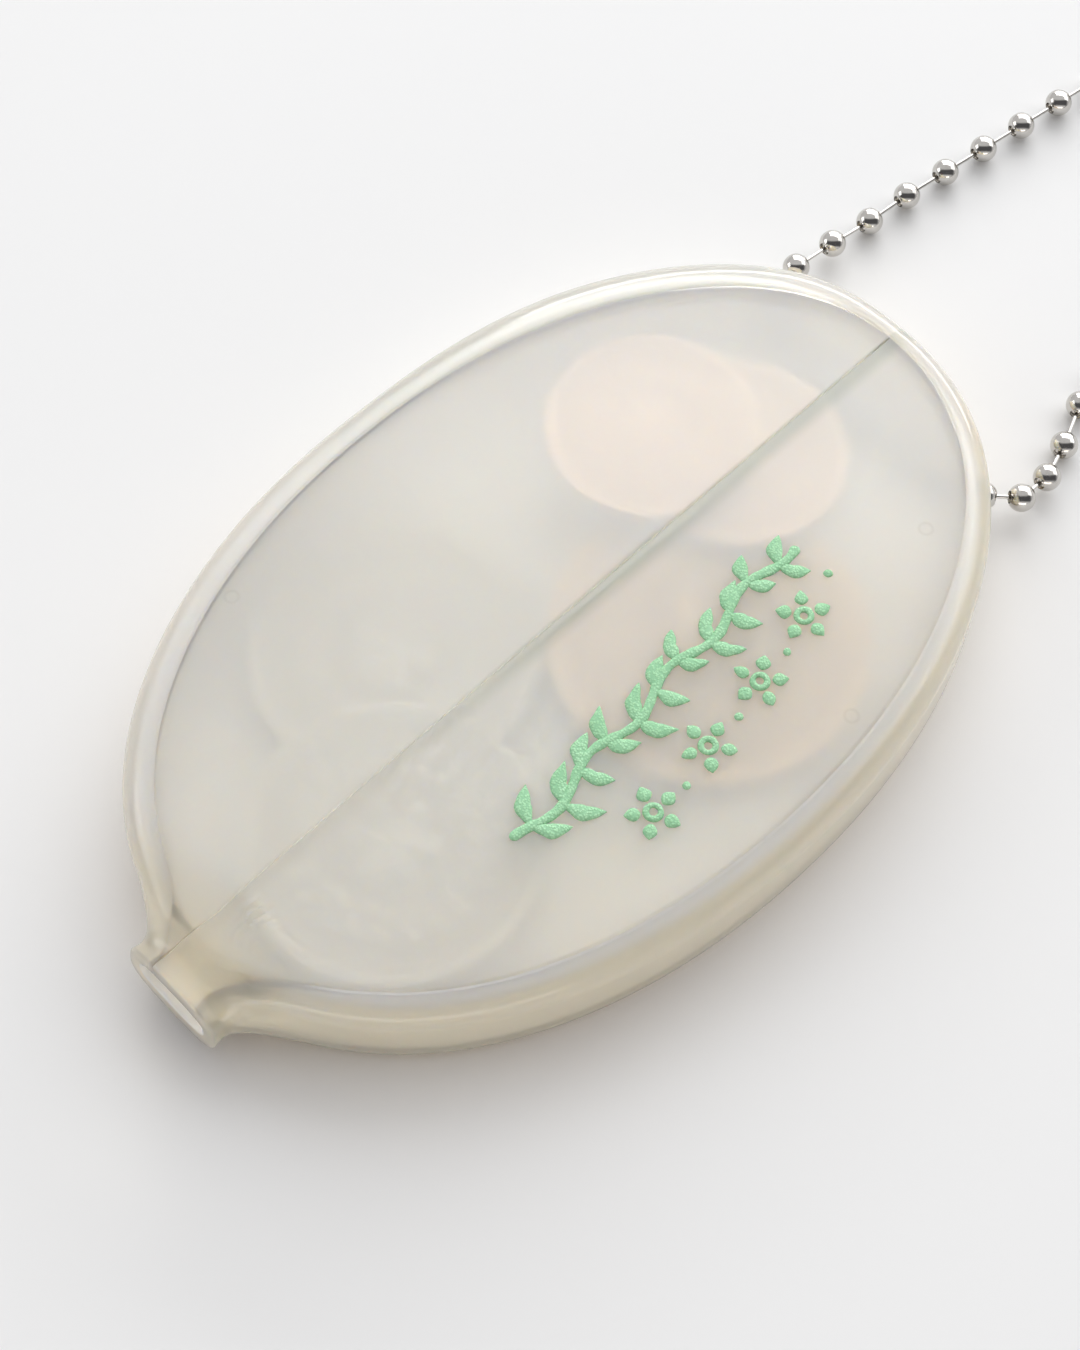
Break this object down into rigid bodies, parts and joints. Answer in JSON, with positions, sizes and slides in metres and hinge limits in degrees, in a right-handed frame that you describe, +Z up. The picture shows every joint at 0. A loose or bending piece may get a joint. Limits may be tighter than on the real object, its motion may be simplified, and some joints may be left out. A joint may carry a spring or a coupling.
{
  "type": "squeeze coin case",
  "caption": "Oval squeeze coin case of soft translucent vinyl, cut lengthwise along its top, with loose coins inside and a loop of ball chain with a clasp.",
  "frame": {"origin": "centre of the flat base, on the surface that the case lies on", "axes": "+X from the open neck to the chain end, along the cut; +Z up; +Y to the left lip"},
  "size_m": [0.1363, 0.0534, 0.0093],
  "materials": {
    "vinyl": "milky translucent, satin",
    "print": "raised ink, satin",
    "nickel": "bright nickel plate",
    "cupronickel": "worn coin metal",
    "pink_copper": "worn coin metal",
    "bronze": "worn coin metal"
  },
  "bodies": {
    "case": {"shell": "vinyl", "chain_left_threaded_1": "nickel", "chain_left_threaded_2": "nickel", "chain_left_threaded_3": "nickel", "chain_left_threaded_4": "nickel", "chain_right_threaded_1": "nickel", "chain_right_threaded_2": "nickel", "chain_right_threaded_3": "nickel", "chain_right_threaded_4": "nickel", "chain_left_lead_1": "nickel", "chain_left_lead_2": "nickel", "chain_left_lead_3": "nickel", "chain_left_lead_4": "nickel", "chain_right_lead_1": "nickel", "chain_right_lead_2": "nickel", "chain_right_lead_3": "nickel", "chain_right_lead_4": "nickel", "chain_right_lead_5": "nickel"},
    "left_lip": {"left_lip": "vinyl"},
    "right_lip": {"right_lip": "vinyl"},
    "coin_bronze": {"coin_bronze": "bronze"},
    "coin_grey_low": {"coin_grey_low": "cupronickel"},
    "coin_grey_high": {"coin_grey_high": "cupronickel"},
    "coin_pink_low": {"coin_pink_low": "pink_copper"},
    "coin_pink_high": {"coin_pink_high": "pink_copper"},
    "left_swing_1": {"chain_left_swing_1": "nickel"},
    "left_swing_2": {"chain_left_swing_2": "nickel"},
    "left_swing_3": {"chain_left_swing_3": "nickel"},
    "left_swing_4": {"chain_left_swing_4": "nickel"},
    "left_swing_5": {"chain_left_swing_5": "nickel"},
    "right_swing_1": {"chain_right_swing_1": "nickel"},
    "right_swing_2": {"chain_right_swing_2": "nickel"},
    "right_swing_3": {"chain_right_swing_3": "nickel"},
    "right_swing_4": {"chain_right_swing_4": "nickel"},
    "right_swing_5": {"chain_right_swing_5": "nickel"},
    "bight": {"chain_bight_1": "nickel", "chain_bight_2": "nickel", "chain_bight_3": "nickel", "chain_bight_4": "nickel", "chain_bight_5": "nickel", "chain_bight_6": "nickel", "chain_bight_7": "nickel", "chain_bight_8": "nickel", "chain_bight_9": "nickel", "chain_bight_10": "nickel"},
    "connector": {"chain_connector": "nickel"}
  },
  "joints": [
    {"name": "left_lip_hinge", "type": "hinge", "parent": "case", "child": "left_lip", "pos_m": [0, 0.0243, 0.0088], "axis": [-1, 0, 0], "range_deg": [0, 30], "stiffness_Nm_per_rad": 0.002},
    {"name": "right_lip_hinge", "type": "hinge", "parent": "case", "child": "right_lip", "pos_m": [0, -0.0243, 0.0088], "axis": [1, 0, 0], "range_deg": [0, 30], "stiffness_Nm_per_rad": 0.002},
    {"name": "coin_bronze_slide", "type": "slide", "parent": "case", "child": "coin_bronze", "axis": [1, 0, 0], "range_m": [0, 0.0095]},
    {"name": "coin_grey_low_slide", "type": "slide", "parent": "case", "child": "coin_grey_low", "axis": [1, 0, 0], "range_m": [-0.0075, 0]},
    {"name": "coin_grey_high_slide", "type": "slide", "parent": "case", "child": "coin_grey_high", "axis": [1, 0, 0], "range_m": [-0.002, 0.008]},
    {"name": "coin_pink_low_slide", "type": "slide", "parent": "case", "child": "coin_pink_low", "axis": [1, 0, 0], "range_m": [-0.008, 0]},
    {"name": "coin_pink_high_slide", "type": "slide", "parent": "case", "child": "coin_pink_high", "axis": [1, 0, 0], "range_m": [-0.008, 0.006]},
    {"name": "left_lift_1", "type": "hinge", "parent": "case", "child": "left_swing_1", "pos_m": [0.05477, 0.0123, 0.00125], "axis": [-0.058, -0.9983, 0], "range_deg": [0, 15]},
    {"name": "left_lift_2", "type": "hinge", "parent": "left_swing_1", "child": "left_swing_2", "pos_m": [0.05928, 0.01167, 0.00125], "axis": [-0.058, -0.9983, 0], "range_deg": [0, 15]},
    {"name": "right_lift_1", "type": "hinge", "parent": "case", "child": "right_swing_1", "pos_m": [0.05333, -0.01252, 0.00125], "axis": [-0.058, -0.9983, 0], "range_deg": [0, 15]},
    {"name": "right_lift_2", "type": "hinge", "parent": "right_swing_1", "child": "right_swing_2", "pos_m": [0.05783, -0.01316, 0.00125], "axis": [-0.058, -0.9983, 0], "range_deg": [0, 15]},
    {"name": "left_sway_3", "type": "hinge", "parent": "left_swing_2", "child": "left_swing_3", "pos_m": [0.06378, 0.01103, 0.00125], "axis": [0, 0, 1], "range_deg": [-15, 15]},
    {"name": "left_sway_4", "type": "hinge", "parent": "left_swing_3", "child": "left_swing_4", "pos_m": [0.06829, 0.0104, 0.00125], "axis": [0, 0, 1], "range_deg": [-15, 15]},
    {"name": "left_sway_5", "type": "hinge", "parent": "left_swing_4", "child": "left_swing_5", "pos_m": [0.07279, 0.00976, 0.00125], "axis": [0, 0, 1], "range_deg": [-15, 15]},
    {"name": "bight_sway", "type": "hinge", "parent": "left_swing_5", "child": "bight", "pos_m": [0.0773, 0.00913, 0.00125], "axis": [0, 0, 1], "range_deg": [-15, 15]},
    {"name": "right_sway_3", "type": "hinge", "parent": "right_swing_2", "child": "right_swing_3", "pos_m": [0.06234, -0.01379, 0.00125], "axis": [0, 0, 1], "range_deg": [-15, 15]},
    {"name": "right_sway_4", "type": "hinge", "parent": "right_swing_3", "child": "right_swing_4", "pos_m": [0.06685, -0.01442, 0.00125], "axis": [0, 0, 1], "range_deg": [-15, 15]},
    {"name": "right_sway_5", "type": "hinge", "parent": "right_swing_4", "child": "right_swing_5", "pos_m": [0.07135, -0.01506, 0.00125], "axis": [0, 0, 1], "range_deg": [-15, 15]},
    {"name": "connector_tilt", "type": "hinge", "parent": "bight", "child": "connector", "pos_m": [0.08046, -0.01633, 0.00125], "axis": [0.1392, 0.9903, 0], "range_deg": [0, 25]}
  ],
  "couplings": [
    {"joint": "right_lip_hinge", "follows": "left_lip_hinge", "ratio": 1},
    {"joint": "left_lift_2", "follows": "left_lift_1", "ratio": 1},
    {"joint": "right_lift_1", "follows": "left_lift_1", "ratio": 1},
    {"joint": "right_lift_2", "follows": "left_lift_1", "ratio": 1},
    {"joint": "left_sway_4", "follows": "left_sway_3", "ratio": 1},
    {"joint": "left_sway_5", "follows": "left_sway_3", "ratio": -1},
    {"joint": "bight_sway", "follows": "left_sway_3", "ratio": -1},
    {"joint": "right_sway_3", "follows": "left_sway_3", "ratio": 1},
    {"joint": "right_sway_4", "follows": "left_sway_3", "ratio": 1},
    {"joint": "right_sway_5", "follows": "left_sway_3", "ratio": -1}
  ]
}
